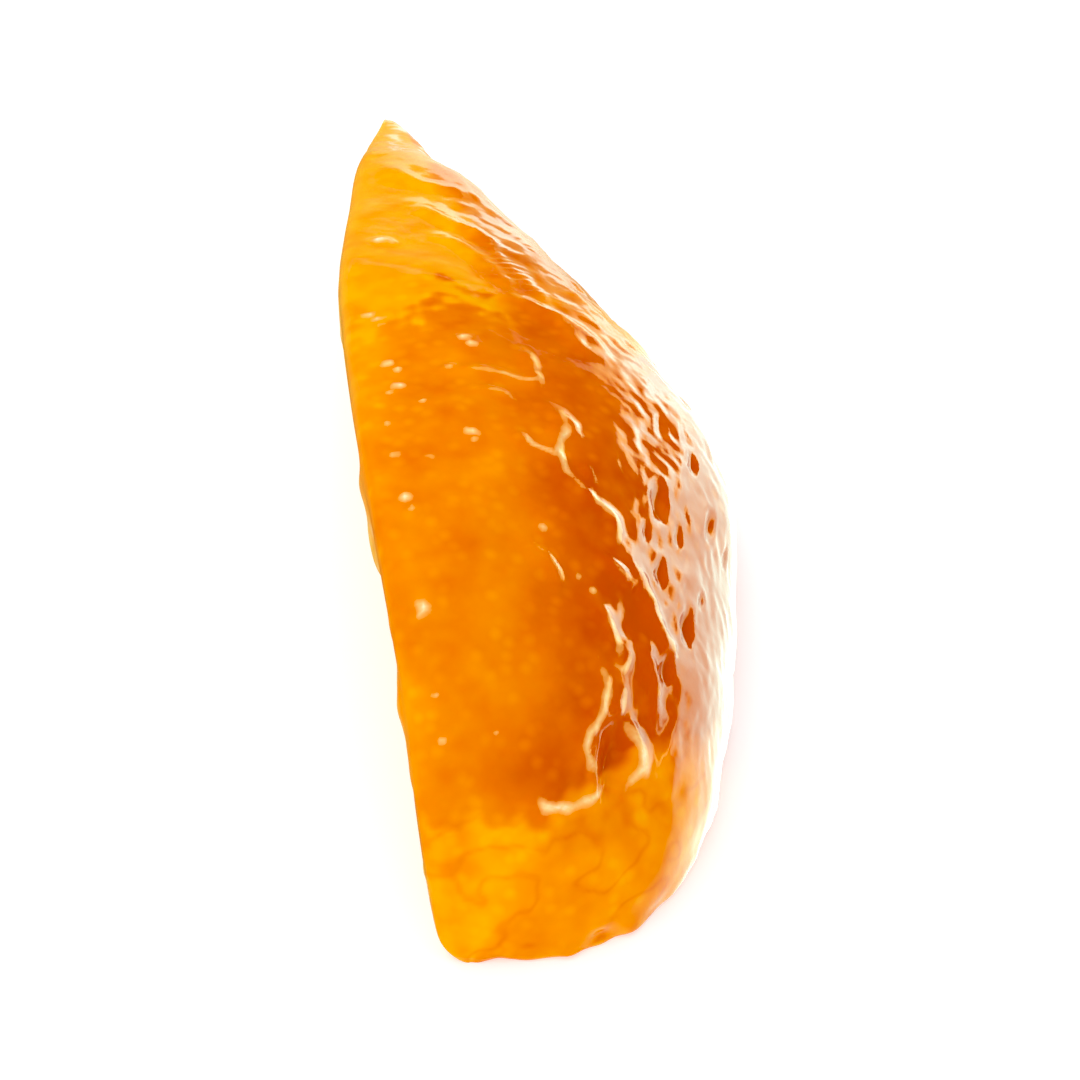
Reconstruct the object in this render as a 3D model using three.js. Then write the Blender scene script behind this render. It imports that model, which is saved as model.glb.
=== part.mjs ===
// One section of dried yuzu peel, glazed with syrup: a curved shell of rind cut from pole to pole of
// the fruit. It stands on one cut face and arches over to the other, with its pith side hollow.
//
// Millimetres, +Z up. The two tips lie near the Y axis: the far one is pointed, at +Y, and the near
// one is blunt, at -Y. The rind bulges towards +X, and the hollow pith side opens towards -X.

import * as THREE from 'three';
import { ParametricGeometry } from 'three/addons/geometries/ParametricGeometry.js';
import { mergeVertices } from 'three/addons/utils/BufferGeometryUtils.js';

// Driving dimensions of the rind
const TIP_TO_TIP = 71.3; // before the tips are rounded
const SIDE_REACH = 13.3; // from the line between the tips to the rind where it stands
const ARCH_HEIGHT = 17.7;
const ARCH_DEGREES = 100; // how far the arch turns, from the ground edge to the raised edge
const RAISED_EDGE_LEAN = 8.05; // how far the raised edge hangs over the hollow side
const BOW = 5.9; // how far the middle of the piece bows towards the rind side
const RIND_THICKNESS = 4.3;
const FAR_TIP_SOLID = 8; // length of full rind where the pith hollow ends
const NEAR_TIP_SOLID = 4.2;
const EDGE_ROUNDING = 1.0; // of the rind's edge along the raised cut
const GROUND_ROUNDING = 0.4;
const FAR_TIP_ROUNDING = 1.2;
const NEAR_TIP_ROUNDING = 2.2;

// How each size grows from the far tip and falls to the near tip. A small power is a blunt end.
const REACH_PROFILE = { far: 0.83, near: 0.215 };
const HEIGHT_PROFILE = { far: 1.16, near: 0.485 };
const LEAN_PROFILE = { far: 1.78, near: 1.8 };
const BOW_PROFILE = { far: 2, near: 1.85 };

// Uneven relief: waves of falling length and height, each crossing the piece its own way
const RIND_WAVES = { count: 6, longest: 21, highest: 0.2 };
const PITH_WAVES = { count: 5, longest: 10, highest: 0.24 };
const CUT_WAVES = { count: 4, longest: 8, highest: 0.22 };
const WAVE_RATIO = 0.72; // each wave against the one before it
const GOLDEN_SHARE = 0.618; // spreads the headings of the waves evenly
const WAVE_TURN = 1.7;
const WAVE_SHIFT = 1.7;
const FAR_FADE = 9; // distance from the far tip within which relief dies away
const NEAR_FADE = 5;
const GROUND_FADE = 0.15; // share of the arch within which relief stops moving the skin up or down

// Swellings and hollows of this one piece. along runs from 0 at the far tip to 1 at the near tip,
// and over runs from 0 at the ground edge to 1 at the raised edge.
const SWELLINGS = [
  { along: 0.15, over: 0.43, spread: 7, height: 0.88 }, // knuckle behind the far tip
  { along: 0.55, over: 0.29, spread: 10, height: 1.3 }, // belly
  { along: 0.66, over: 1, spread: 6, height: 0.25 }, // fullness of the raised edge
  { along: 0.88, over: 1, spread: 5, height: -1.2 }, // dent in the raised edge by the blunt end
  { along: 0.88, over: 0.2, spread: 7, height: 0.8 }, // full corner of the blunt end
];

// Steps of the mesh
const LENGTH_STEPS = 54;
const RIND_STEPS = 28;
const CUT_STEPS = 4;
const PITH_STEPS = 20;
const RING_STEPS = RIND_STEPS + CUT_STEPS + PITH_STEPS + CUT_STEPS;

const RIND_COLOUR = 0xf28a05;
const SLOPE_STEP = 1e-3;

const RIND = { inset: 0, farEnd: TIP_TO_TIP / 2, nearEnd: -TIP_TO_TIP / 2 };
const PITH = {
  inset: RIND_THICKNESS,
  farEnd: RIND.farEnd - FAR_TIP_SOLID,
  nearEnd: RIND.nearEnd + NEAR_TIP_SOLID,
};

// Rises from 0 at the far tip to 1 where it is fullest, and falls to 0 at the near tip.
function profile(along, { far, near }) {
  const fullest = far / (far + near);
  const shape = (x) => x ** far * (1 - x) ** near;
  return shape(along) / shape(fullest);
}

// A smooth surface of the shell. The skin is its outside, and the pith is the same form made smaller.
function shellPoint(along, over, shell) {
  const reach = (SIDE_REACH - shell.inset) * profile(along, REACH_PROFILE);
  const height = (ARCH_HEIGHT - shell.inset) * profile(along, HEIGHT_PROFILE);
  const lean = RAISED_EDGE_LEAN * profile(along, LEAN_PROFILE);
  const bow = BOW * profile(along, BOW_PROFILE);
  const turn = THREE.MathUtils.degToRad(ARCH_DEGREES) * over;
  return new THREE.Vector3(
    reach * Math.cos(turn) - lean * over * over + bow,
    THREE.MathUtils.lerp(shell.farEnd, shell.nearEnd, along),
    height * Math.sin(turn),
  );
}

// The direction out of the fruit at a point of a shell surface, from its two slopes.
function outward(along, over, shell) {
  const a = THREE.MathUtils.clamp(along, SLOPE_STEP, 1 - SLOPE_STEP);
  const o = THREE.MathUtils.clamp(over, SLOPE_STEP, 1 - SLOPE_STEP);
  const slope = (da, dover) =>
    shellPoint(a + da, o + dover, shell).sub(shellPoint(a - da, o - dover, shell));
  return slope(0, SLOPE_STEP).cross(slope(SLOPE_STEP, 0)).normalize();
}

// Waves that cross one another at a point of the piece.
function waves(point, { count, longest, highest }) {
  const heading = new THREE.Vector3();
  let sum = 0;
  for (let i = 0; i < count; i++) {
    const scale = WAVE_RATIO ** i;
    const share = (GOLDEN_SHARE * (i + 1)) % 1;
    heading.setFromSphericalCoords(1, Math.acos(1 - 2 * share), WAVE_TURN * i);
    const turns = (2 * Math.PI * point.dot(heading)) / (longest * scale);
    sum += highest * scale * Math.sin(turns + WAVE_SHIFT * i);
  }
  return sum;
}

function swelling(point) {
  return SWELLINGS.reduce((sum, { along, over, spread, height }) => {
    const away = point.distanceTo(shellPoint(along, over, RIND)) / spread;
    return sum + height * Math.exp(-away * away);
  }, 0);
}

// Relief dies away towards the two tips, where the surfaces close.
function tipFade(point, shell) {
  const far = point.distanceTo(shellPoint(0, 0, shell)) / FAR_FADE;
  const near = point.distanceTo(shellPoint(1, 0, shell)) / NEAR_FADE;
  return Math.min(1, far, near);
}

// How far the skin is drawn in at a point close to an edge, as a quarter round.
function drawIn(point, edge, rounding) {
  const inside = Math.min(1, point.distanceTo(edge) / rounding);
  return rounding * (1 - Math.sqrt(1 - (1 - inside) ** 2));
}

// How far a corner is drawn back at a point close to it.
function drawBack(point, tip, rounding) {
  const inside = Math.min(1, point.distanceTo(tip) / rounding);
  return 0.35 * rounding * (1 - inside) ** 2;
}

// Moves a point out of the fruit. Close to the ground it moves level, so the cut face stays flat.
function pushOut(point, along, over, shell, distance) {
  const push = outward(along, over, shell).multiplyScalar(distance);
  push.z *= Math.min(1, over / GROUND_FADE);
  return point.add(push);
}

function rindPoint(along, over) {
  const point = shellPoint(along, over, RIND);
  const relief = waves(point, RIND_WAVES) + swelling(point);
  const raised = drawIn(point, shellPoint(along, 1, RIND), EDGE_ROUNDING);
  const ground = drawIn(point, shellPoint(along, 0, RIND), GROUND_ROUNDING);
  const farTip = drawBack(point, shellPoint(0, 0, RIND), FAR_TIP_ROUNDING);
  const nearTip = drawBack(point, shellPoint(1, 0, RIND), NEAR_TIP_ROUNDING);
  pushOut(point, along, over, RIND, tipFade(point, RIND) * (relief - raised - ground));
  point.y -= farTip;
  point.x += nearTip;
  return point;
}

function pithPoint(along, over) {
  const point = shellPoint(along, over, PITH);
  return pushOut(point, along, over, PITH, tipFade(point, PITH) * waves(point, PITH_WAVES));
}

// A cut face runs straight from rind to pith. The raised one is a little rough between them.
function cutPoint(along, over, depth) {
  const point = rindPoint(along, over).lerp(pithPoint(along, over), depth);
  if (over === 0 || along === 0 || along === 1) return point;
  const rough = tipFade(point, RIND) * Math.sin(Math.PI * depth) * waves(point, CUT_WAVES);
  const upward = shellPoint(along, 1, RIND).sub(shellPoint(along, 1 - SLOPE_STEP, RIND));
  return point.addScaledVector(upward.normalize(), rough);
}

// The line along the middle of the rind, which spaces the rings evenly over the blunt end too.
class Ridge extends THREE.Curve {
  static along(share) {
    return 1 - (1 - share) ** 4;
  }

  getPoint(share) {
    return shellPoint(Ridge.along(share), 0.5, RIND);
  }
}
const ridge = new Ridge();
ridge.arcLengthDivisions = 800;

// One turn round the section: over the rind, down the raised cut, back under the pith, out along the
// ground cut.
function ringPoint(turn, lengthwise, target) {
  const step = Math.round(turn * RING_STEPS);
  const along = Ridge.along(ridge.getUtoTmapping(THREE.MathUtils.clamp(lengthwise, 0, 1)));
  const raisedCut = RIND_STEPS;
  const pith = raisedCut + CUT_STEPS;
  const groundCut = pith + PITH_STEPS;
  let point;
  if (step <= raisedCut) point = rindPoint(along, step / RIND_STEPS);
  else if (step <= pith) point = cutPoint(along, 1, (step - raisedCut) / CUT_STEPS);
  else if (step <= groundCut) point = pithPoint(along, 1 - (step - pith) / PITH_STEPS);
  else point = cutPoint(along, 0, (RING_STEPS - step) / CUT_STEPS);
  if (step === 0 || step >= groundCut) point.z = 0;
  return target.copy(point);
}

// Welds the rings shut at the two tips and leaves out the faces that have no area there.
function weld(geometry) {
  geometry.deleteAttribute('normal');
  geometry.deleteAttribute('uv');
  const welded = mergeVertices(geometry, 1e-3);
  const corners = welded.index.array;
  const kept = [];
  for (let i = 0; i < corners.length; i += 3) {
    const [a, b, c] = corners.subarray(i, i + 3);
    if (a !== b && b !== c && c !== a) kept.push(a, b, c);
  }
  welded.setIndex(kept);
  welded.computeVertexNormals();
  return welded;
}

// Puts the origin under the middle of the piece, on the ground.
function centre(geometry) {
  geometry.computeBoundingBox();
  const middle = geometry.boundingBox.getCenter(new THREE.Vector3());
  return geometry.translate(-middle.x, -middle.y, 0);
}

function peelSection() {
  const geometry = centre(weld(new ParametricGeometry(ringPoint, RING_STEPS, LENGTH_STEPS)));
  const material = new THREE.MeshStandardMaterial({
    color: RIND_COLOUR,
    roughness: 0.18,
    metalness: 0,
  });
  const mesh = new THREE.Mesh(geometry, material);
  mesh.name = 'peel_section';
  return mesh;
}

const peel = new THREE.Group();
peel.add(peelSection());

export default peel;
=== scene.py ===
"""Looks of one section of dried yuzu peel under a wet glaze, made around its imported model.

Shapes are worked out in millimetres on the same smooth shell as the model, then set in place in metres.
along runs from 0 at the far tip to 1 at the near tip, and over from 0 at the ground edge to 1 at the
raised edge. A fade is a pair of values: it is 0 at the first one and 1 at the second one.
"""

import math

import bpy
import numpy as np
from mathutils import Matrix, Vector, noise


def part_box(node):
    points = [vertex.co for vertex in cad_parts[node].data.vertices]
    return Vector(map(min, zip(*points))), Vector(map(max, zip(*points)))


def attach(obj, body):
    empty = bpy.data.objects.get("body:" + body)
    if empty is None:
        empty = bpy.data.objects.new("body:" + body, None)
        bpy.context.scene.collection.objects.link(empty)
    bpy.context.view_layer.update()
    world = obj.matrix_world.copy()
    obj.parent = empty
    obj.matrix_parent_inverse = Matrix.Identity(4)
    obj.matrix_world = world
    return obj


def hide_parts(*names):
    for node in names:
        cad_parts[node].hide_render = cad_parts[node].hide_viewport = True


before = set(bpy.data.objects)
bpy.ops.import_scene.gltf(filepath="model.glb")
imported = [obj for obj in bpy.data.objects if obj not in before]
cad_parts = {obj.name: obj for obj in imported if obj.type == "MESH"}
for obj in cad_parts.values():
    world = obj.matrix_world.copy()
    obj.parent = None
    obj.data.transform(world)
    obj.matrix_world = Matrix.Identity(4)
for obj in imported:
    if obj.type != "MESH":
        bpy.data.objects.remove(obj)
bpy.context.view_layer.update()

MM = 0.001
PIECE = "peel_section"

# Driving dimensions of the smooth shell, as in the model
TIP_TO_TIP = 71.3  # before the tips are rounded
SIDE_REACH = 13.3  # from the line between the tips to the rind where it stands
ARCH_HEIGHT = 17.7
ARCH_DEGREES = 100  # how far the arch turns, from the ground edge to the raised edge
RAISED_EDGE_LEAN = 8.05  # how far the raised edge hangs over the hollow side
BOW = 5.9  # how far the middle of the piece bows towards the rind side
RIND_THICKNESS = 4.3
FAR_TIP_SOLID = 8  # length of full rind where the pith hollow ends
NEAR_TIP_SOLID = 4.2
EDGE_ROUNDING = 1.0  # of the rind's edge along the raised cut
GROUND_ROUNDING = 0.4
FAR_TIP_ROUNDING = 1.2
NEAR_TIP_ROUNDING = 2.2
DRAW_BACK = 0.35  # how far a tip is drawn back, as a share of its rounding

# How each size grows from the far tip and falls to the near tip. A small power is a blunt end.
REACH_PROFILE = (0.83, 0.215)
HEIGHT_PROFILE = (1.16, 0.485)
LEAN_PROFILE = (1.78, 1.8)
BOW_PROFILE = (2, 1.85)

# Uneven relief: waves of falling length and height, each crossing the piece its own way
RIND_WAVES = (6, 21, 0.2)  # count, longest, highest
PITH_WAVES = (5, 10, 0.24)
CUT_WAVES = (4, 8, 0.22)
WAVE_RATIO = 0.72  # each wave against the one before it
GOLDEN_SHARE = 0.618  # spreads the headings of the waves evenly
WAVE_TURN = 1.7
WAVE_SHIFT = 1.7
FAR_FADE = 9  # distance from the far tip within which relief dies away
NEAR_FADE = 5
GROUND_FADE = 0.15  # share of the arch within which relief stops moving the skin up or down
SWELLINGS = [  # along, over, spread, height
    (0.15, 0.43, 7, 0.88),  # knuckle behind the far tip
    (0.55, 0.29, 10, 1.3),  # belly
    (0.66, 1, 6, 0.25),  # fullness of the raised edge
    (0.88, 1, 5, -1.2),  # dent in the raised edge by the blunt end
    (0.88, 0.2, 7, 0.8),  # full corner of the blunt end
]
RIND = (0, TIP_TO_TIP / 2, -TIP_TO_TIP / 2)  # inset, far end, near end
PITH = (RIND_THICKNESS, RIND[1] - FAR_TIP_SOLID, RIND[2] + NEAR_TIP_SOLID)
SLOPE_STEP = 1e-3
TINY = 1e-12

# Steps of the mesh
ROWS = 420
RIND_STEPS = 146
CUT_STEPS = 12
PITH_STEPS = 54
ROW_SAMPLES = 4001
ROW_POWER = 4  # crowds the samples towards the blunt end, where the shell closes fast
STEP_SAMPLES = 1001
FLANK_EXTRA = 0.8  # how much denser the steps over the rind are on the flank, where the lace is
FLANK_FADE = (0.78, 0.66)
WELD_DECIMALS = 5


def bell(distance, width):
    """1 at no distance, falling away smoothly on both sides."""
    return np.exp(-((distance / width) ** 2))


def fade(between, x):
    start, end = between
    t = np.clip((x - start) / (end - start), 0, 1)
    return t * t * (3 - 2 * t)


def profile(along, shape):
    """Rises from 0 at the far tip to 1 where it is fullest, and falls to 0 at the near tip."""
    far, near = shape
    fullest = far / (far + near)
    return along**far * (1 - along) ** near / (fullest**far * (1 - fullest) ** near)


def shell_point(along, over, shell):
    """A point of the smooth rind, or of the pith, which has the same form and is smaller."""
    inset, far_end, near_end = shell
    along, over = np.broadcast_arrays(np.asarray(along, float), np.asarray(over, float))
    turn = math.radians(ARCH_DEGREES) * over
    x = (SIDE_REACH - inset) * profile(along, REACH_PROFILE) * np.cos(turn)
    x = x - RAISED_EDGE_LEAN * profile(along, LEAN_PROFILE) * over**2 + BOW * profile(along, BOW_PROFILE)
    z = (ARCH_HEIGHT - inset) * profile(along, HEIGHT_PROFILE) * np.sin(turn)
    return np.stack([x, far_end + (near_end - far_end) * along, z], -1)


def unit(vectors):
    return vectors / np.maximum(np.linalg.norm(vectors, axis=-1, keepdims=True), TINY)


def outward(along, over, shell):
    """The direction out of the fruit, from the two slopes of the shell."""
    a = np.clip(along, SLOPE_STEP, 1 - SLOPE_STEP)
    o = np.clip(over, SLOPE_STEP, 1 - SLOPE_STEP)
    across = shell_point(a, o + SLOPE_STEP, shell) - shell_point(a, o - SLOPE_STEP, shell)
    lengthwise = shell_point(a + SLOPE_STEP, o, shell) - shell_point(a - SLOPE_STEP, o, shell)
    return unit(np.cross(across, lengthwise))


def waves(points, kind):
    count, longest, highest = kind
    total = np.zeros(points.shape[:-1])
    for i in range(count):
        scale = WAVE_RATIO**i
        phi = math.acos(1 - 2 * ((GOLDEN_SHARE * (i + 1)) % 1))
        theta = WAVE_TURN * i
        heading = (math.sin(phi) * math.sin(theta), math.cos(phi), math.sin(phi) * math.cos(theta))
        turns = 2 * math.pi * points @ heading / (longest * scale)
        total += highest * scale * np.sin(turns + WAVE_SHIFT * i)
    return total


def away(points, along, over, shell=RIND):
    """Distance from a place of the shell."""
    return np.linalg.norm(points - shell_point(along, over, shell), axis=-1)


def swelling(points):
    return sum(height * bell(away(points, a, o), spread) for a, o, spread, height in SWELLINGS)


def tip_fade(points, shell):
    """Relief dies away towards the two tips, where the surfaces close."""
    far = away(points, 0, 0, shell) / FAR_FADE
    near = away(points, 1, 0, shell) / NEAR_FADE
    return np.minimum(1, np.minimum(far, near))


def quarter_round(distance, rounding):
    """How far the skin is drawn in at that distance from an edge."""
    inside = np.minimum(1, distance / rounding)
    return rounding * (1 - np.sqrt(1 - (1 - inside) ** 2))


def pushed(points, along, over, shell, distance):
    """Points moved out of the fruit. At the ground they move level, so the cut face stays flat."""
    push = outward(along, over, shell) * distance[..., None]
    push[..., 2] *= np.minimum(1, over / GROUND_FADE)
    return points + push


# Fine relief, in mm. A noise layer is its height, the size of its features, what its length is
# multiplied by, and a shift that tells it from the others.
WARP_SHIFTS = (1.3, 5.1, 9.7)
RELIEF_WARP = (0.9, 0.18)  # size, reach
UNEVEN_LAYERS = [(0.05, 5.0, 1, 3.1), (0.02, 1.6, 1, 7.7)]
STREAK_LAYERS = [(0.075, 0.9, 0.25, 2.2)]
WRINKLE_LAYERS = [(0.07, 1.3, 1, 6.1), (0.035, 0.6, 1, 4.9)]
PITH_LAYERS = [(0.22, 2.4, 0.6, 4.7), (0.1, 0.9, 0.4, 6.2)]
CUT_LAYERS = [(0.16, 1.0, 0.5, 2.8)]

# Where the relief is. A zone is the product of its fades.
STREAK_ZONE = {"along": [(0.1, 0.2), (0.52, 0.42)], "over": [(0.85, 0.65)]}
WRINKLE_ZONE = {"along": [(0.2, 0.1), (0.02, 0.07)]}
LACE_ZONE = {"along": [(0.1, 0.3), (0.95, 0.87)], "over": [(0.62, 0.4)]}

# Lace of the glaze on the flank, drawn out aslant towards the ground and the near tip
LACE_DEGREES = 26
LACE_RIDGES = (0.054, 1.2, 0.62, 4.4)  # height, size, squeeze of the long way, shift
LACE_KNOTS = (0.066, 0.9, 0.75, 3.3)
LACE_GRAIN = [(0.03, 0.5, 1, 1.8)]
RIDGE_SHARPNESS = 2.4
LACE_LOW_SHARE = 0.45  # of its height, close to the ground
LACE_LOW_FADE = (0.15, 0.35)
FLANK_X, FLANK_Z = 0.6, 0.8  # the way down the flank
FLANK_DEPTH = 0.3

# Scallops of the ground edge, which grow towards the near tip
SCALLOPS = [(0.14, (0.78, 0.9)), (0.36, (0.95, 0.985))]  # height, fade along
SCALLOP_NOISE = (1.3, 2.6)  # size, shift
SCALLOP_REACH = 1.3

# The far tip bends sideways a little
TIP_SHIFT = (0.5, (0.07, 0.0))  # reach, fade along
TIP_BENDS = [  # reach, along, spread, fade over
    (0.5, 0.05, 0.035, (1.0, 0.5)),
    (-0.28, 0.14, 0.08, (0.5, 1.0)),
]
TIP_CALM = 2.5  # distance from a tip within which the fine relief dies away

# All places below are chosen against the photo, in steps of 0.005.
# Wrinkles of the glaze: height and half width in mm, half width and share of the pale painted highlight
# on them, and the places (along, over) that each one passes
CREASES = [
    (0.2, 0.5, 0.28, 0.75, [(0.525, 0.665), (0.55, 0.665), (0.58, 0.665)]),
    (0.19, 0.57, 0.26, 0.62, [(0.565, 0.805), (0.57, 0.74), (0.575, 0.69), (0.57, 0.665)]),
    (0.16, 0.53, 0.24, 0.58, [(0.595, 0.775), (0.595, 0.745), (0.605, 0.715)]),
    (0.36, 0.68, 0.28, 0.85, [(0.61, 0.64), (0.63, 0.635), (0.665, 0.65), (0.685, 0.64), (0.705, 0.6)]),
    (0.26, 0.57, 0.26, 0.75, [(0.65, 0.715), (0.665, 0.7), (0.675, 0.65)]),
    (0.26, 0.57, 0.2, 0.5, [(0.615, 0.625), (0.63, 0.61), (0.645, 0.605)]),
    (0.3, 0.6, 0.3, 0.8, [(0.7, 0.59), (0.71, 0.575), (0.72, 0.53), (0.745, 0.525)]),
    (0.36, 0.57, 0.24, 0.55, [(0.765, 0.705), (0.785, 0.65), (0.8, 0.635)]),
    (0.2, 0.5, 0.22, 0.5, [(0.76, 0.545), (0.77, 0.51), (0.77, 0.48)]),
    (0.2, 0.5, 0.22, 0.52, [(0.675, 0.595), (0.69, 0.575)]),
    (0.38, 0.7, 0.34, 0.8, [(0.805, 0.545), (0.82, 0.52), (0.84, 0.495)]),
    (0.24, 0.55, 0.24, 0.6, [(0.85, 0.515), (0.85, 0.475), (0.83, 0.465)]),
    (0.4, 0.75, 0.4, 0.55, [(0.75, 0.495), (0.765, 0.445), (0.8, 0.38), (0.81, 0.325)]),
    (0.24, 0.57, 0.22, 0.45, [(0.765, 0.535), (0.77, 0.495), (0.775, 0.46)]),
    (0.38, 0.72, 0.34, 0.85, [(0.85, 0.545), (0.87, 0.51), (0.895, 0.52), (0.915, 0.54), (0.93, 0.475)]),
    (0.4, 0.75, 0.4, 0.85, [(0.885, 0.445), (0.895, 0.385), (0.91, 0.37), (0.925, 0.39)]),
    (0.3, 0.65, 0.34, 0.9, [(0.925, 0.47), (0.94, 0.48), (0.95, 0.545), (0.955, 0.625), (0.95, 0.645)]),
    (0.26, 0.57, 0.26, 0.65, [(0.86, 0.46), (0.885, 0.46)]),
    (0.3, 0.6, 0.3, 0.3, [(0.82, 0.425), (0.85, 0.37), (0.87, 0.34)]),
    (0.26, 0.76, 0.3, 0.25, [(0.16, 0.855), (0.195, 0.75), (0.205, 0.65), (0.205, 0.52)]),
    (0.3, 0.8, 0.34, 0.35, [(0.245, 0.765), (0.285, 0.705), (0.335, 0.575)]),
    (0.3, 0.76, 0.34, 0.35, [(0.32, 0.745), (0.345, 0.69), (0.385, 0.655), (0.43, 0.645)]),
    (0.3, 0.76, 0.34, 0.35, [(0.295, 0.645), (0.35, 0.625), (0.435, 0.565)]),
    (0.34, 0.8, 0.34, 0.35, [(0.435, 0.645), (0.45, 0.595), (0.485, 0.49)]),
    (0.28, 0.7, 0.3, 0.3, [(0.455, 0.605), (0.475, 0.565), (0.505, 0.535), (0.495, 0.485)]),
]
CREST_SHIFT = 0.013  # how far over each crest lies from the lit side of its wrinkle
CREASE_REACH = 3  # half widths past which a wrinkle is flat
CREASE_ENDS = (0.04, 0.96)  # shares of its length past which its ends are cut blunt
CREASE_STEPS = 10
# Long pits of the rind: along, over, half length
PITS = [
    (0.505, 0.285, 0.7),
    (0.575, 0.405, 0.8),
    (0.6, 0.335, 0.8),
    (0.65, 0.19, 0.7),
    (0.65, 0.275, 1.0),
    (0.67, 0.425, 1.3),
    (0.69, 0.365, 0.7),
    (0.71, 0.455, 0.6),
    (0.73, 0.275, 0.6),
    (0.74, 0.405, 0.9),
    (0.77, 0.315, 1.2),
    (0.825, 0.365, 0.9),
    (0.91, 0.45, 1.9),
]
# Sizes of a pit as shares of its half length
PIT_HALF_WIDTH = 0.42
PIT_DEPTH = 0.3
PIT_LIP = (0.05, 1.5, 0.4)  # height, distance from the middle, width
# Nicks of the edge at the near tip: along, over, radius, depth
NICKS = [(1, 0.36, 0.8, 0.5), (0.99, 0.075, 0.6, 0.35)]
# Small beads of syrup: along, over, radius, share of pale painted highlight
BEADS = [
    (0.33, 0.905, 0.6, 0.75),
    (0.335, 0.885, 0.34, 0.4),
    (0.47, 0.95, 0.4, 0.5),
    (0.48, 0.935, 0.4, 0.55),
    (0.49, 0.93, 0.34, 0.45),
    (0.52, 0.79, 0.5, 0.65),
    (0.53, 0.78, 0.4, 0.6),
    (0.55, 0.93, 0.48, 0.6),
    (0.56, 0.915, 0.4, 0.55),
    (0.565, 0.83, 0.44, 0.4),
    (0.585, 0.92, 0.46, 0.6),
    (0.595, 0.935, 0.3, 0.4),
    (0.61, 0.88, 0.28, 0.45),
    (0.64, 0.945, 0.3, 0.42),
    (0.655, 0.81, 0.44, 0.6),
    (0.665, 0.805, 0.32, 0.5),
    (0.68, 0.94, 0.34, 0.45),
    (0.685, 0.885, 0.3, 0.45),
    (0.73, 0.935, 0.5, 0.7),
    (0.74, 0.925, 0.34, 0.5),
    (0.75, 0.685, 0.36, 0.4),
    (0.785, 0.605, 0.3, 0.42),
    (0.795, 0.57, 0.3, 0.42),
    (0.83, 0.925, 0.5, 0.7),
    (0.835, 0.93, 0.34, 0.5),
    (0.895, 0.92, 0.26, 0.4),
    (0.92, 0.775, 0.26, 0.3),
    (0.925, 0.91, 0.28, 0.45),
]
BEAD_HEIGHT = 0.35  # share of its radius


def noise_at(points, size, shift):
    """Smooth noise, about -1 to 1, with features of that size in mm."""
    flat = (points / size + shift).reshape(-1, 3)
    return np.array([noise.noise(Vector(p)) for p in flat]).reshape(points.shape[:-1])


def noise_layers(points, layers):
    return sum(h * noise_at(points * (1, length, 1), size, shift) for h, size, length, shift in layers)


def warped(points, size, reach):
    """Points nudged by noise, so that what is drawn on them looks less regular."""
    return points + reach * np.stack([noise_at(points, size, shift) for shift in WARP_SHIFTS], -1)


def zone(fades, along, over):
    """1 inside a zone of the shell and 0 outside it."""
    share = 1.0
    for between in fades.get("along", []):
        share = share * fade(between, along)
    for between in fades.get("over", []):
        share = share * fade(between, over)
    return share


def smooth_line(places):
    """Points of the shell along a smooth curve through the places, with how far along it each is."""
    ends = np.array([places[0], *places, places[-1]], float)
    t = np.linspace(0, 1, CREASE_STEPS, endpoint=False)[:, None]
    pieces = []
    for i in range(len(places) - 1):
        a, b, c, d = ends[i : i + 4]
        bend = 2 * a - 5 * b + 4 * c - d
        twist = 3 * b - a - 3 * c + d
        pieces.append(0.5 * (2 * b + (c - a) * t + bend * t**2 + twist * t**3))
    line = np.concatenate(pieces + [ends[-1:]])
    return shell_point(line[:, 0], line[:, 1], RIND), np.linspace(0, 1, len(line))


def crease(points, line, share, half_width, height):
    """A low ridge along a line, which dies away at both of its ends."""
    reach = CREASE_REACH * half_width
    inside = ((points > line.min(0) - reach) & (points < line.max(0) + reach)).all(-1)
    chosen = points[inside]
    total = np.zeros(points.shape[:-1])
    if len(chosen):
        gaps = np.linalg.norm(chosen[:, None] - line[None], axis=-1)
        nearest = gaps.argmin(1)
        ends = np.sin(np.pi * np.clip(share[nearest], *CREASE_ENDS)) ** 0.5
        total[inside] = height * ends * bell(gaps.min(1), half_width)
    return total


def pit(points, along, over, half_length):
    """A dimple that is longer than it is wide, with a low lip."""
    before = shell_point(along - SLOPE_STEP, over, RIND)
    after = shell_point(along + SLOPE_STEP, over, RIND)
    offset = points - shell_point(along, over, RIND)
    far = offset @ unit(after - before)
    side = np.sqrt(np.maximum(0, (offset**2).sum(-1) - far**2))
    out = np.hypot(far / half_length, side / (PIT_HALF_WIDTH * half_length))
    lip_height, lip_place, lip_width = PIT_LIP
    return half_length * (lip_height * bell(out - lip_place, lip_width) - PIT_DEPTH * bell(out, 1))


def aslant(points, squeeze):
    """Points for a noise whose features are drawn out along the flank."""
    turn = math.radians(LACE_DEGREES)
    down = points[..., 0] * FLANK_X - points[..., 2] * FLANK_Z
    long_way = down * math.sin(turn) - points[..., 1] * math.cos(turn)
    short_way = down * math.cos(turn) + points[..., 1] * math.sin(turn)
    return np.stack([long_way * squeeze, short_way, points[..., 0] * FLANK_DEPTH], -1)


def lace(points, along, over):
    """The net of low ridges on the flank, which breaks up the white light from the right."""
    share = zone(LACE_ZONE, along, over)
    share = share * (LACE_LOW_SHARE + (1 - LACE_LOW_SHARE) * fade(LACE_LOW_FADE, over))
    height, size, squeeze, shift = LACE_RIDGES
    ridges = height * (1 - RIDGE_SHARPNESS * np.abs(noise_at(aslant(points, squeeze), size, shift)))
    height, size, squeeze, shift = LACE_KNOTS
    knots = height * noise_at(aslant(points, squeeze), size, shift)
    return share * (ridges + knots + noise_layers(points, LACE_GRAIN))


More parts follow.
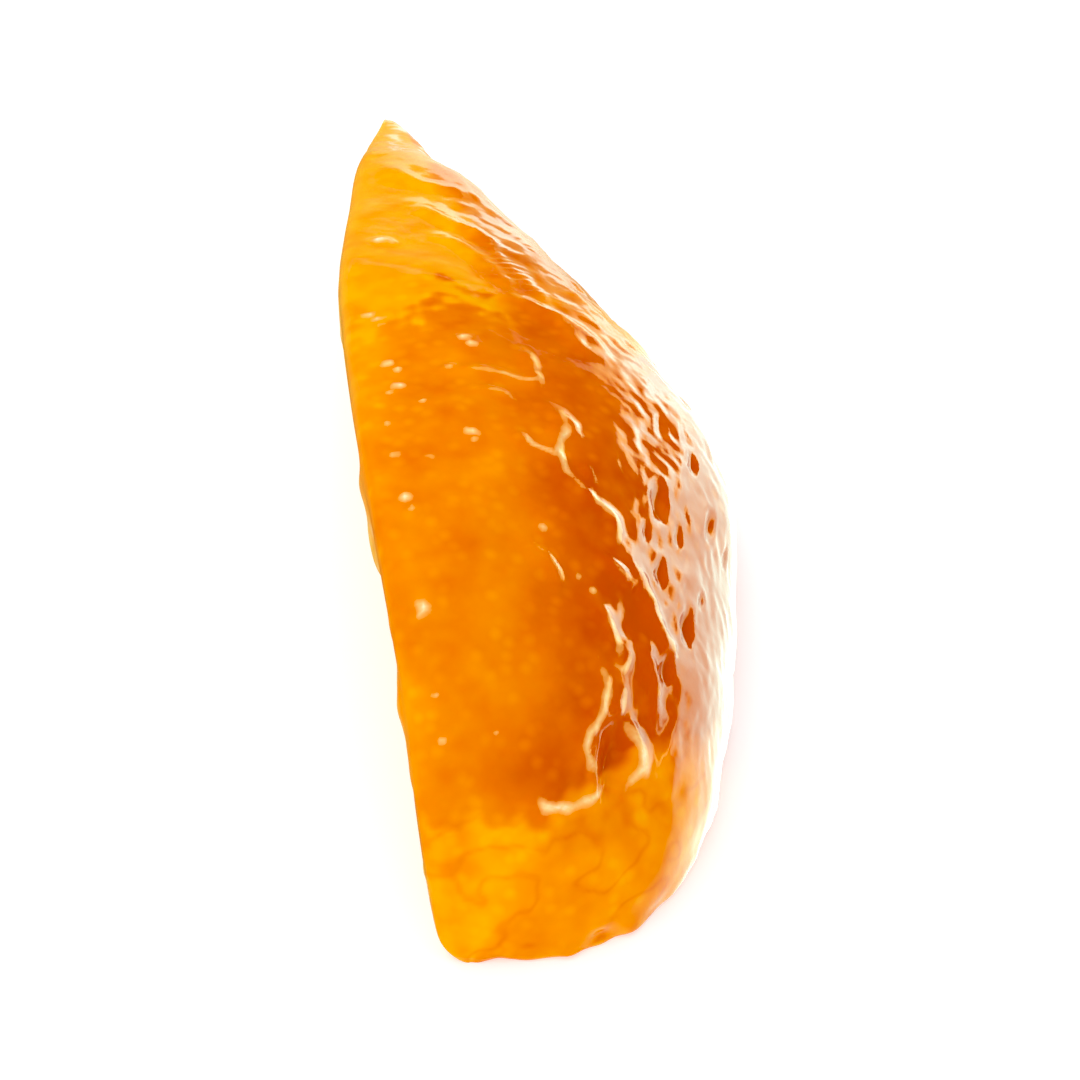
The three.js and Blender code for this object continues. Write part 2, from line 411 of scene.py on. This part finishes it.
def ground_edge(points, along):
    """The scallops of the ground edge, and the nicks at the near tip."""
    height = sum(h * fade(between, along) for h, between in SCALLOPS)
    scallops = height * bell(away(points, along, 0), SCALLOP_REACH) * noise_at(points, *SCALLOP_NOISE)
    return scallops - sum(depth * bell(away(points, a, o), radius) for a, o, radius, depth in NICKS)


def fine_relief(points, along, over):
    """Height in mm that the glaze and the rind under it add to the smooth shell."""
    moved = warped(points, *RELIEF_WARP)
    total = noise_layers(points, UNEVEN_LAYERS) + ground_edge(points, along) + lace(moved, along, over)
    total += zone(STREAK_ZONE, along, over) * noise_layers(moved, STREAK_LAYERS)
    total += zone(WRINKLE_ZONE, along, over) * noise_layers(moved, WRINKLE_LAYERS)
    for height, half_width, _, _, places in CREASES:
        line, share = smooth_line([(a, o + CREST_SHIFT) for a, o in places])
        total += crease(moved, line, share, half_width, height)
    for a, o, half_length in PITS:
        total += pit(moved, a, o, half_length)
    for a, o, radius, _ in BEADS:
        total += BEAD_HEIGHT * radius * bell(away(points, a, o), radius)
    return total


def rind_points(along, over):
    base = shell_point(along, over, RIND)
    relief = waves(base, RIND_WAVES) + swelling(base)
    raised = quarter_round(away(base, along, 1), EDGE_ROUNDING)
    ground = quarter_round(away(base, along, 0), GROUND_ROUNDING)
    calm = np.minimum(1, np.minimum(away(base, 0, 0), away(base, 1, 0)) / TIP_CALM)
    relief = tip_fade(base, RIND) * (relief - raised - ground) + calm * fine_relief(base, along, over)
    points = pushed(base, along, over, RIND, relief)
    reach, between = TIP_SHIFT
    points[..., 0] += reach * fade(between, along)
    for reach, middle_along, spread, between in TIP_BENDS:
        points[..., 0] += reach * bell(along - middle_along, spread) * fade(between, over)
    for tip, rounding, axis, sign in ((0, FAR_TIP_ROUNDING, 1, -1), (1, NEAR_TIP_ROUNDING, 0, 1)):
        inside = np.minimum(1, away(base, tip, 0) / rounding)
        points[..., axis] += sign * DRAW_BACK * rounding * (1 - inside) ** 2
    return points


def pith_points(along, over):
    base = shell_point(along, over, PITH)
    relief = waves(base, PITH_WAVES) + noise_layers(base, PITH_LAYERS)
    return pushed(base, along, over, PITH, tip_fade(base, PITH) * relief)


def cut_points(along, over, depth):
    """A cut face from rind to pith. The ground one is straight, and the raised one a little rough."""
    outer, inner = rind_points(along, over), pith_points(along, over)
    points = outer + (inner - outer) * depth[..., None]
    if not over.any():
        return points
    rough = waves(points, CUT_WAVES) + noise_layers(points, CUT_LAYERS)
    rough = tip_fade(points, RIND) * np.sin(np.pi * depth) * rough
    rough = np.where((along <= 0) | (along >= 1), 0, rough)
    upward = unit(shell_point(along, 1, RIND) - shell_point(along, 1 - SLOPE_STEP, RIND))
    return points + upward * rough[..., None]


def row_places():
    """Places along for rows that are evenly spaced over the middle of the rind."""
    along = 1 - (1 - np.linspace(0, 1, ROW_SAMPLES)) ** ROW_POWER
    line = shell_point(along, 0.5, RIND)
    length = np.concatenate([[0], np.cumsum(np.linalg.norm(np.diff(line, axis=0), axis=1))])
    return np.clip(np.interp(np.linspace(0, length[-1], ROWS + 1), length, along), 0, 1)


def rind_places():
    """Places over for the steps of the rind, which lie closer together on the flank."""
    share = np.linspace(0, 1, STEP_SAMPLES)
    density = np.cumsum(1 + FLANK_EXTRA * fade(FLANK_FADE, share))
    over = np.interp(np.linspace(density[0], density[-1], RIND_STEPS + 1), density, share)
    over[-1] = 1
    return over


def section_grid():
    """Rings of points from the far tip to the near tip, with how far along, over and deep each is."""
    along = row_places()[:, None]
    cut_depth = np.linspace(0, 1, CUT_STEPS + 1)[1:]
    stretches = [
        (lambda a, o, d: rind_points(a, o), rind_places(), np.zeros(RIND_STEPS + 1)),
        (cut_points, np.ones(CUT_STEPS), cut_depth),
        (lambda a, o, d: pith_points(a, o), np.linspace(1, 0, PITH_STEPS + 1)[1:], np.ones(PITH_STEPS)),
        (cut_points, np.zeros(CUT_STEPS - 1), cut_depth[-2::-1]),
    ]
    points = np.concatenate([make(*np.broadcast_arrays(along, o, d)) for make, o, d in stretches], 1)
    over = np.concatenate([o for _, o, _ in stretches])
    depth = np.concatenate([d for _, _, d in stretches])
    points[:, over == 0, 2] = 0
    return points, *np.broadcast_arrays(along, over, depth)


def closed_mesh(name, points, attributes):
    """A mesh of the rings, closed round and welded shut at both ends."""
    rows, ring = points.shape[:2]
    index = np.arange(rows * ring).reshape(rows, ring)
    flat = points.reshape(-1, 3)
    merged = np.arange(rows * ring)
    for row in (index[0], index[-1]):
        rounded = np.round(flat[row], WELD_DECIMALS)
        _, first, back = np.unique(rounded, axis=0, return_index=True, return_inverse=True)
        merged[row] = row[first][back.ravel()]
    here = merged.reshape(rows, ring)
    beside = np.roll(here, -1, 1)
    quads = np.stack([here[:-1], here[1:], beside[1:], beside[:-1]], -1).reshape(-1, 4)
    faces = []
    for quad in quads.tolist():
        corners = [c for i, c in enumerate(quad) if c != quad[i - 1]]
        if len(set(corners)) >= 3:
            faces.append(corners)
    used = np.unique(np.concatenate([np.array(f) for f in faces]))
    renumber = np.zeros(rows * ring, int)
    renumber[used] = np.arange(len(used))
    mesh = bpy.data.meshes.new(name)
    mesh.from_pydata(flat[used] * MM, [], [renumber[f].tolist() for f in faces])
    for key, values in attributes.items():
        layer = mesh.attributes.new(key, "FLOAT", "POINT")
        layer.data.foreach_set("value", values.reshape(-1)[used].astype(np.float32))
    mesh.shade_smooth()
    mesh.update()
    return mesh


# Stops of the colour ramps. The rind goes from golden to deep orange, the pale painted highlights from
# faint to full, and the pith from between its fibres to their crests.
RIND_COLOURS = [
    (0.0, (0.93, 0.43, 0.014)),
    (0.33, (0.90, 0.30, 0.007)),
    (0.66, (0.80, 0.19, 0.005)),
    (1.0, (0.62, 0.095, 0.004)),
]
# Pale paint standing in for highlights: how far it covers the rind, and its colours
PAINTED_HIGHLIGHT_COVER = [(0.24, (0.0, 0.0, 0.0)), (0.36, (0.5, 0.5, 0.5)), (0.85, (1.0, 1.0, 1.0))]
PAINTED_HIGHLIGHT_COLOURS = [(0.4, (0.96, 0.48, 0.12)), (0.75, (0.97, 0.66, 0.28)), (1.0, (0.97, 0.86, 0.62))]
PITH_COLOURS = [(0.3, (0.84, 0.40, 0.035)), (0.5, (0.92, 0.56, 0.12)), (0.72, (0.95, 0.74, 0.34))]
SPECULAR_TINT = (1.0, 0.62, 0.28, 1)

# Noises of the peel's material: scale, detail and, for the fibres, distortion
BLOTCHES = (420.0, 4.0)
GLAND_PATCHES = (330.0, 2.0)
PAINTED_HIGHLIGHT_EDGE = (1500.0, 3.0)
FIBRES = (1400.0, 5.0, 0.6)
GRAIN = (900.0, 2.0)
GLAND_SCALE = 850.0
GLAND_RADII = (0.12, 0.42)  # where a gland is full and where it ends
FIBRE_STRETCH = (1, 0.3, 1)

# How much each of them counts
BLOTCH_TONE = 0.45
GLAND_TONE = -0.26
PAINTED_HIGHLIGHT_RAGGEDNESS = 0.5
PITH_RAGGEDNESS = 0.2
PITH_FADE = (0.12, 0.42)  # depth under the rind
RIND_ROUGHNESS = 0.1
PITH_EXTRA_ROUGHNESS = 0.16
BUMP = {"Distance": 0.0001, "Strength": 0.25}


class Nodes:
    """Small helper that adds and links shader nodes."""

    def __init__(self, name):
        self.material = bpy.data.materials.new(name)
        self.material.use_nodes = True
        self.tree = self.material.node_tree
        self.tree.nodes.clear()

    def add(self, kind, inputs=(), **settings):
        node = self.tree.nodes.new("ShaderNode" + kind)
        for key, value in settings.items():
            setattr(node, key, value)
        for key, value in dict(inputs).items():
            if isinstance(value, bpy.types.NodeSocket):
                self.tree.links.new(value, node.inputs[key])
            else:
                node.inputs[key].default_value = value
        return node

    def maths(self, operation, a, b=0.0, c=0.0):
        return self.add("Math", {0: a, 1: b, 2: c}, operation=operation).outputs[0]

    def times(self, a, b):
        return self.maths("MULTIPLY", a, b)

    def attribute(self, name):
        return self.add("Attribute", attribute_name=name).outputs["Fac"]

    def noise(self, vector, scale, detail, distortion=0.0):
        inputs = {"Vector": vector, "Scale": scale, "Detail": detail, "Distortion": distortion}
        return self.add("TexNoise", inputs).outputs["Fac"]

    def varied(self, value, noise_value, amount):
        """The value moved up and down alike by a noise."""
        return self.maths("MULTIPLY_ADD", self.maths("SUBTRACT", noise_value, 0.5), amount, value)

    def ranged(self, value, between, ends=(0.0, 1.0)):
        """The value brought from one range to another, and held at its ends."""
        inputs = {"Value": value, "From Min": between[0], "From Max": between[1]}
        inputs |= {"To Min": ends[0], "To Max": ends[1]}
        return self.add("MapRange", inputs).outputs["Result"]

    def ramp(self, factor, stops):
        node = self.add("ValToRGB", {"Fac": factor})
        elements = node.color_ramp.elements
        while len(elements) < len(stops):
            elements.new(0.5)
        for element, (position, colour) in zip(elements, stops):
            element.position = position
            element.color = (*colour, 1)
        return node.outputs["Color"]

    def mix(self, factor, a, b):
        return self.add("Mix", {0: factor, 6: a, 7: b}, data_type="RGBA").outputs[2]

    def both(self, a, b):
        return self.add("AddShader", {0: a.outputs[0], 1: b.outputs[0]})

    def finished(self, shader):
        """The material, with the shader on its surface."""
        out = self.add("OutputMaterial")
        self.tree.links.new(shader.outputs[0], out.inputs["Surface"])
        return self.material


def rind_colour(n, place, blotches):
    """Orange rind with blotches and oil glands, under pale paint that stands in for highlights where
    that mark is set.
    """
    tone = n.varied(n.attribute("tone"), blotches, BLOTCH_TONE)
    glands = n.add("TexVoronoi", {"Vector": place, "Scale": GLAND_SCALE}).outputs["Distance"]
    glands = n.times(n.ranged(glands, GLAND_RADII, (1.0, 0.0)), n.noise(place, *GLAND_PATCHES))
    rind = n.ramp(n.maths("MULTIPLY_ADD", glands, GLAND_TONE, tone), RIND_COLOURS)
    # Painted highlights: pale paint laid over the rind along the wrinkles, on the beads and on the far
    # tip.
    painted_highlight = n.varied(n.attribute("painted_highlight"), n.noise(place, *PAINTED_HIGHLIGHT_EDGE), PAINTED_HIGHLIGHT_RAGGEDNESS)
    return n.mix(n.ramp(painted_highlight, PAINTED_HIGHLIGHT_COVER), rind, n.ramp(painted_highlight, PAINTED_HIGHLIGHT_COLOURS))


def peel_material():
    n = Nodes("glazed_peel")
    place = n.add("TexCoord").outputs["Object"]
    blotches = n.noise(place, *BLOTCHES)
    lengthwise = n.add("VectorMath", {0: place, 1: FIBRE_STRETCH}, operation="MULTIPLY").outputs[0]
    pith = n.ramp(n.noise(lengthwise, *FIBRES), PITH_COLOURS)
    inner = n.ranged(n.varied(n.attribute("depth"), blotches, PITH_RAGGEDNESS), PITH_FADE)
    bump = n.add("Bump", {"Height": n.noise(place, *GRAIN)} | BUMP)
    shader = n.add(
        "BsdfPrincipled",
        {
            "Base Color": n.mix(inner, rind_colour(n, place, blotches), pith),
            "Roughness": n.maths("MULTIPLY_ADD", inner, PITH_EXTRA_ROUGHNESS, RIND_ROUGHNESS),
            "IOR": 1.6,
            "Specular Tint": SPECULAR_TINT,
            "Subsurface Weight": 0.3,
            "Subsurface Radius": (1.0, 0.35, 0.08),
            "Subsurface Scale": 0.003,
            "Normal": bump.outputs[0],
        },
    )
    return n.finished(shader)


# Tone of the rind, from 0 where it is golden to 1 where it is a deep orange
PLAIN_TONE = 0.58
TONE_NOISES = [(4.0, 1.7), (1.4, 5.2), (0.8, 0.6)]  # size and shift of a wide, a small and a fine one

# How much each of the three frays a border
INWARD_FRAY = (0.07, 0.05, 0.03)
DEEP_FRAY = (0, 0.03, 0)
SUNNY_FRAY = (0.06, 0.06, 0.04)
RIM_FRAY = (0.035, 0.02, 0)
MOTTLE = (0, 0.12, 0.07)
MOTTLE_LAYERS = [(0.12, 5.0, 1, 2.9)]

# The deep flank, which is deeper yet towards the near tip
DEEP_TONE = 0.23
DEEP_GROWTH, DEEP_GROWTH_FADE = 0.13, (0.58, 0.75)
DEEP_ALONG, DEEP_OVER = (0.4, 0.5), (0.76, 0.58)
FAR_FLANK_TONE = 0.16
FAR_FLANK_ZONE = {"along": [(0.15, 0.22), (0.45, 0.35)], "over": [(0.72, 0.58)]}
LOW_TONE, LOW_ZONE = 0.16, {"along": [(0.4, 0.5)], "over": [(0.55, 0.42)]}
NEAR_TONE, NEAR_FADE_ALONG = -0.06, (0.75, 0.9)

# The golden patch at the far end, which widens at the tip, is the rind's own golden tone with a painted
# reflection of the pale floor behind it; past it the golden rim, lightened by a painted glow of light
# through the thin edge
SUNNY_TONE = -0.5
SUNNY_ALONG, SUNNY_OVER = (0.49, 0.455), (0.62, 0.74)
SUNNY_WIDENING, SUNNY_WIDENING_FADE = 0.2, (0.2, 0.1)
# The rim's lightening is a painted glow of light through the thin raised edge.
RIM_TONE, RIM_OVER = 0.12, (0.87, 0.96)
RIM_EXTRA_TONE, RIM_EXTRA_FADE = 0.28, (0.75, 0.5)

# The golden near end. Its border slants away from the near tip below a place over.
BORDER_ALONG = 0.965
BORDER_SLANT, SLANT_BELOW = 0.27, 0.62
BORDER_LAYERS = [(0.014, 3.0, 1, 4.1), (0.012, 1.1, 1, 0.6)]
BORDER_BLUR = 0.006
LOW_BLUR, LOW_BLUR_FADE = 0.04, (0.42, 0.25)
GOLDEN_TONE = 0.52
GOLDEN_RIM_LESS, GOLDEN_RIM_FADE = 0.26, (0.75, 0.9)
SWIRL_TONE, SWIRL_WIDTH = 0.2, 0.09
SWIRL_STRETCH, SWIRL_NOISE = (1, 1, 1.6), (3.4, 8.8)
SWIRL_LAYERS = [(0.3, 1.1, 1, 3.3)]


def frayed(value, noises, amounts):
    for kind, amount in zip(noises, amounts):
        value = value + amount * kind
    return value


def flank_tone(along, inward, noises):
    deep = DEEP_TONE + DEEP_GROWTH * fade(DEEP_GROWTH_FADE, along)
    tone = deep * fade(DEEP_OVER, inward) * fade(DEEP_ALONG, frayed(along, noises, DEEP_FRAY))
    return tone + FAR_FLANK_TONE * zone(FAR_FLANK_ZONE, along, inward)


def sunny_end(along, inward, noises):
    """1 on the golden patch at the far end of the peel and 0 elsewhere: the rind's own golden tone with
    a painted reflection of the pale floor behind it.
    """
    wider = inward + SUNNY_WIDENING * fade(SUNNY_WIDENING_FADE, along)
    return fade(SUNNY_ALONG, frayed(along, noises, SUNNY_FRAY)) * fade(SUNNY_OVER, wider)


def golden_end(place, along, over):
    """1 on the golden near end of the peel and 0 elsewhere, with a ragged border."""
    border = BORDER_ALONG - BORDER_SLANT * np.maximum(0, SLANT_BELOW - over)
    blur = BORDER_BLUR + LOW_BLUR * fade(LOW_BLUR_FADE, over)
    return fade((-blur, blur), along + noise_layers(place, BORDER_LAYERS) - border)


def swirls(place):
    """Thin curling lines of the golden end."""
    lines = noise_at(place * SWIRL_STRETCH, *SWIRL_NOISE) + noise_layers(place, SWIRL_LAYERS)
    return bell(lines, SWIRL_WIDTH)


def rind_tone(along, over):
    place = shell_point(along, over, RIND)
    noises = [noise_at(place, *kind) for kind in TONE_NOISES]
    inward = frayed(over, noises, INWARD_FRAY)
    sunny = sunny_end(along, inward, noises)
    golden = golden_end(place, along, over)
    rim = fade(RIM_OVER, frayed(over, noises, RIM_FRAY))
    tone = PLAIN_TONE + flank_tone(along, inward, noises) + NEAR_TONE * fade(NEAR_FADE_ALONG, along)
    # Golden far patch: the rind's own golden tone with a painted reflection of the pale floor behind it.
    tone += SUNNY_TONE * sunny
    # Golden rim: lightened by a painted glow of light through the thin raised edge.
    tone -= rim * (1 - sunny) * (RIM_TONE + RIM_EXTRA_TONE * fade(RIM_EXTRA_FADE, along))
    tone += LOW_TONE * zone(LOW_ZONE, along, over) * (1 - golden)
    tone -= (GOLDEN_TONE - GOLDEN_RIM_LESS * fade(GOLDEN_RIM_FADE, over)) * golden
    tone += SWIRL_TONE * golden * swirls(place)
    return frayed(tone + noise_layers(place, MOTTLE_LAYERS), noises, MOTTLE)


# Painted highlights: pale paint standing in for glints on the beads, along the wrinkles and on the far
# tip. A share of 0 is no paint.
PAINTED_HIGHLIGHT_WARP = (0.8, 0.16)  # size, reach
BEAD_NOISE, BEAD_RAGGEDNESS = (0.8, 7.4), 0.3
BEAD_EXTRA_SHARE = 0.3
BEAD_HIGHLIGHT_RADIUS = 0.85  # against the radius listed for it
CREASE_HIGHLIGHT_WIDTH = 1.02  # against the half width listed for it
PATCH_LAYERS = [(0.5, 1.1, 1, 2.2)]
TIP_ZONE = {"along": [(0.15, 0.07)], "over": [(0.92, 0.75)]}
TIP_SHARE = 0.82
TIP_EXTRA_SHARE, TIP_EXTRA_FADE = 0.3, (0.75, 0.5)
TIP_LAYERS = [(1, 0.9, 0.7, 3.9), (0.7, 0.4, 1, 1.1)]
TIP_BLOT_FADE = (-0.55, 0.55)
MOST_PAINTED_HIGHLIGHT = 1.2


def painted_highlight_at(along, over):
    """Where pale painted highlights go: glints on the small beads, thin lines along the wrinkles, and
    the mottled far tip.
    """
    place = shell_point(along, over, RIND)
    ragged = noise_at(place, *BEAD_NOISE)
    moved = warped(place, *PAINTED_HIGHLIGHT_WARP)
    total = np.zeros(place.shape[:-1])
    for a, o, radius, share in BEADS:
        gap = away(moved, a, o) + BEAD_RAGGEDNESS * radius * ragged
        total = np.maximum(total, (share + BEAD_EXTRA_SHARE) * bell(gap, BEAD_HIGHLIGHT_RADIUS * radius))
    patchy = 1 + noise_layers(place, PATCH_LAYERS)
    for _, _, half_width, share, places in CREASES:
        line, passed = smooth_line(places)
        crease_highlight = crease(moved, line, passed, CREASE_HIGHLIGHT_WIDTH * half_width, share)
        total = np.maximum(total, patchy * crease_highlight)
    tip = zone(TIP_ZONE, along, over) * (TIP_SHARE + TIP_EXTRA_SHARE * fade(TIP_EXTRA_FADE, over))
    blots = fade(TIP_BLOT_FADE, noise_layers(place, TIP_LAYERS))
    return np.clip(total + tip * blots, 0, MOST_PAINTED_HIGHLIGHT)


def middle(low, high):
    return (np.array(low) + np.array(high)) / 2


# The piece
points, along, over, depth = section_grid()
low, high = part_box(PIECE)
shift = middle(low, high) / MM - middle(points.min((0, 1)), points.max((0, 1)))
points = points + (shift[0], shift[1], 0)
# tone holds the rind's colour with its painted reflection and painted rim glow; the next mark places the
# pale painted highlights.
marks = {"tone": rind_tone(along, over), "painted_highlight": painted_highlight_at(along, over), "depth": depth}
mesh = closed_mesh("glazed_peel", points, marks)
piece = bpy.data.objects.new("glazed_peel", mesh)
bpy.context.scene.collection.objects.link(piece)
mesh.materials.append(peel_material())
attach(piece, "root")
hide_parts(PIECE)

# The stage, in metres. The floor's own light keeps it white in the picture.
FLOOR_RADIUS, FLOOR_SIDES = 3.0, 96
FLOOR_DROP = 0.02 * MM
FLOOR_COLOUR, FLOOR_LIGHT = (0.7, 0.7, 0.7, 1), 0.42
WORLD_COLOUR, WORLD_LIGHT = (1, 1, 1, 1), 0.6
SOFTBOXES = {  # place, aim, size, watts
    "key": ((-0.05, 0.05, 0.6), (0, 0, 0), (0.8, 0.8), 2.2),
    "fill": ((-0.1, -0.6, 0.25), (0, 0, 0), (0.5, 0.3), 1.0),
    "back": ((-0.1, 0.6, 0.3), (0, 0.02, 0), (0.5, 0.3), 1.7),
    "left": ((-0.6, 0.1, 0.2), (0, 0, 0.01), (0.4, 0.3), 0.15),
}


def floor_material():
    n = Nodes("pale_floor")
    surface = n.add("BsdfDiffuse", {"Color": FLOOR_COLOUR})
    return n.finished(n.both(surface, n.add("Emission", {"Strength": FLOOR_LIGHT})))


def lay_floor():
    bpy.ops.mesh.primitive_circle_add(vertices=FLOOR_SIDES, radius=FLOOR_RADIUS, fill_type="NGON")
    floor = bpy.context.object
    floor.name = "floor"
    floor.location.z = -FLOOR_DROP
    floor.data.materials.append(floor_material())


def light_world():
    """Even light from all round, which the glaze doesn't mirror."""
    world = bpy.data.worlds.new("studio")
    bpy.context.scene.world = world
    world.use_nodes = True
    background = world.node_tree.nodes["Background"]
    background.inputs["Color"].default_value = WORLD_COLOUR
    background.inputs["Strength"].default_value = WORLD_LIGHT
    world.cycles_visibility.glossy = False


def softbox(name, place, aim, size, power):
    """An area light at a place, turned to a point, which the glaze doesn't mirror."""
    light = bpy.data.lights.new(name, "AREA")
    light.shape = "RECTANGLE"
    light.size, light.size_y = size
    light.energy = power
    lamp = bpy.data.objects.new(name, light)
    bpy.context.scene.collection.objects.link(lamp)
    lamp.location = place
    lamp.rotation_euler = (Vector(place) - Vector(aim)).to_track_quat("Z", "Y").to_euler()
    lamp.visible_camera = False
    lamp.visible_glossy = False


# What the glaze mirrors, on a sheet round the piece. far is the distance from the middle, and right is
# 1 on the right, 0 straight behind and -1 on the left. Each pair of pairs is a range and what it is
# brought to.
BRIGHT_FAR = ((0.012, 0.06), (2.6, 4.2))
BRIGHT_RIGHT = (0.3, 0.8)
BRIGHT_BEHIND = ((-0.005, 0.02), (1.0, 1.2))
BORDER_LEAN, NEAR_BORDER = -0.32, (-0.0365, -0.031)
PATCH_X, PATCH_Y = (0.06, 0.09), (-0.044, -0.037)
COOL_RIGHT, COOL_FAR = (0.35, 0.6), ((0.06, 0.2), (1.0, 0.0))
WARM_LIGHT, COOL_LIGHT = (0.8, 0.78, 0.32, 1), (0.44, 0.92, 0.92, 1)
BEHIND_Y, BEHIND_FAR = (0.02, 0.03), ((0.05, 0.1), (1.0, 0.0))
BEHIND_RIGHT, BEHIND_X = (-0.2, 0.1), ((-0.009, -0.003), (0.0, 0.45))
STRIP_END, STRIP_BLUR = ((0.001, 0.004), (0.065, 0.04)), (-0.003, 0.003)
STRIP_COLOUR, PAST_COLOUR = (1.5, 1.95, 1.65, 1), (0.7, 0.7, 0.25, 1)
TABLE_COLOUR, TABLE_FAR = (0.7, 0.4, 0.1, 1), ((0.05, 0.25), (1.0, 0.0))


def bright_table(n, x, y, far, right):
    """The bright table to the right, cut off towards the camera except far to the right."""
    strength = n.times(n.ranged(far, *BRIGHT_FAR), n.ranged(right, BRIGHT_RIGHT))
    near_cut = n.ranged(n.maths("MULTIPLY_ADD", x, BORDER_LEAN, y), NEAR_BORDER)
    far_patch = n.times(n.ranged(x, PATCH_X), n.ranged(y, PATCH_Y))
    strength = n.times(strength, n.maths("MAXIMUM", near_cut, far_patch))
    strength = n.times(strength, n.ranged(y, *BRIGHT_BEHIND))
    cool = n.times(n.ranged(right, COOL_RIGHT), n.ranged(far, *COOL_FAR))
    return n.add("Emission", {"Color": n.mix(cool, WARM_LIGHT, COOL_LIGHT), "Strength": strength})


def warm_table(n, x, y, far, right):
    """The warm and dim table elsewhere, with a pale strip just behind the piece."""
    close_behind = n.times(n.ranged(y, BEHIND_Y), n.ranged(far, *BEHIND_FAR))
    by_tip = n.maths("MAXIMUM", n.ranged(right, BEHIND_RIGHT), n.ranged(x, *BEHIND_X))
    past = n.maths("SUBTRACT", y, n.ranged(x, *STRIP_END))
    strip = n.mix(n.ranged(past, STRIP_BLUR), STRIP_COLOUR, PAST_COLOUR)
    colour = n.mix(n.times(close_behind, by_tip), TABLE_COLOUR, strip)
    return n.add("Emission", {"Color": colour, "Strength": n.ranged(far, *TABLE_FAR)})


def glow_material():
    n = Nodes("glow")
    place = n.add("TexCoord").outputs["Object"]
    far = n.add("VectorMath", {0: place}, operation="LENGTH").outputs["Value"]
    x, y = n.add("SeparateXYZ", {0: place}).outputs[:2]
    behind = n.maths("MAXIMUM", y, 0.0)
    slant = n.maths("SQRT", n.maths("ADD", n.times(x, x), n.times(behind, behind)))
    right = n.maths("DIVIDE", x, slant)
    return n.finished(n.both(bright_table(n, x, y, far, right), warm_table(n, x, y, far, right)))


# The sheet itself, in mm. Its outer rim is raised, except behind the piece.
SHEET_GAP = 0.4
SHEET_HEIGHT = 0.3
SHEET_REACH = 600
RIM_RISE, RIM_RISE_FADE = 75, (480, 260)
ROWS_IN_A_STEP = 8


def glow_panel(points):
    """A lit sheet on the floor all round the piece, which only shows mirrored in the glaze."""
    rows = points[::ROWS_IN_A_STEP]
    right = [(row[0, 0] + SHEET_GAP, row[0, 1]) for row in rows]
    left = [(row[:, 0].min() - SHEET_GAP, row[:, 1].mean()) for row in rows]
    inner = np.array(right + left[::-1])
    outer = inner / np.linalg.norm(inner, axis=1, keepdims=True) * SHEET_REACH
    rise = SHEET_HEIGHT + RIM_RISE * fade(RIM_RISE_FADE, outer[:, 1])
    corners = [(x * MM, y * MM, SHEET_HEIGHT * MM) for x, y in inner]
    corners += [(x * MM, y * MM, z * MM) for (x, y), z in zip(outer, rise)]
    count = len(inner)
    faces = [(i, (i + 1) % count, count + (i + 1) % count, count + i) for i in range(count)]
    mesh = bpy.data.meshes.new("glow")
    mesh.from_pydata(corners, [], faces)
    panel = bpy.data.objects.new("glow", mesh)
    bpy.context.scene.collection.objects.link(panel)
    mesh.materials.append(glow_material())
    panel.visible_camera = panel.visible_diffuse = panel.visible_shadow = False


# The camera, with its place in metres and its lens and sensor in mm
CAMERA_AZIMUTH, CAMERA_ELEVATION = math.radians(-4.4), math.radians(45)
CAMERA_DISTANCE = 0.45
CAMERA_AIM = Vector((0.00007, -0.00114, -0.00113))
LENS, SENSOR = 253, 36
BLACK_LEVEL = 0.02


def place_camera():
    level = math.cos(CAMERA_ELEVATION)
    x, y = math.sin(CAMERA_AZIMUTH) * level, -math.cos(CAMERA_AZIMUTH) * level
    back = Vector((x, y, math.sin(CAMERA_ELEVATION)))
    camera_data = bpy.data.cameras.new("camera")
    camera_data.sensor_width = SENSOR
    camera_data.lens = LENS
    camera = bpy.data.objects.new("camera", camera_data)
    bpy.context.scene.collection.objects.link(camera)
    camera.location = CAMERA_AIM + back * CAMERA_DISTANCE
    camera.rotation_euler = back.to_track_quat("Z", "Y").to_euler()
    bpy.context.scene.camera = camera


def set_view():
    """Plain colours with a slightly deeper black."""
    view = bpy.context.scene.view_settings
    view.view_transform = "Standard"
    view.use_curve_mapping = True
    view.curve_mapping.black_level = (BLACK_LEVEL, BLACK_LEVEL, BLACK_LEVEL)
    view.curve_mapping.update()


lay_floor()
light_world()
for name, (place, aim, size, power) in SOFTBOXES.items():
    softbox(name, place, aim, size, power)
glow_panel(points)
place_camera()
set_view()
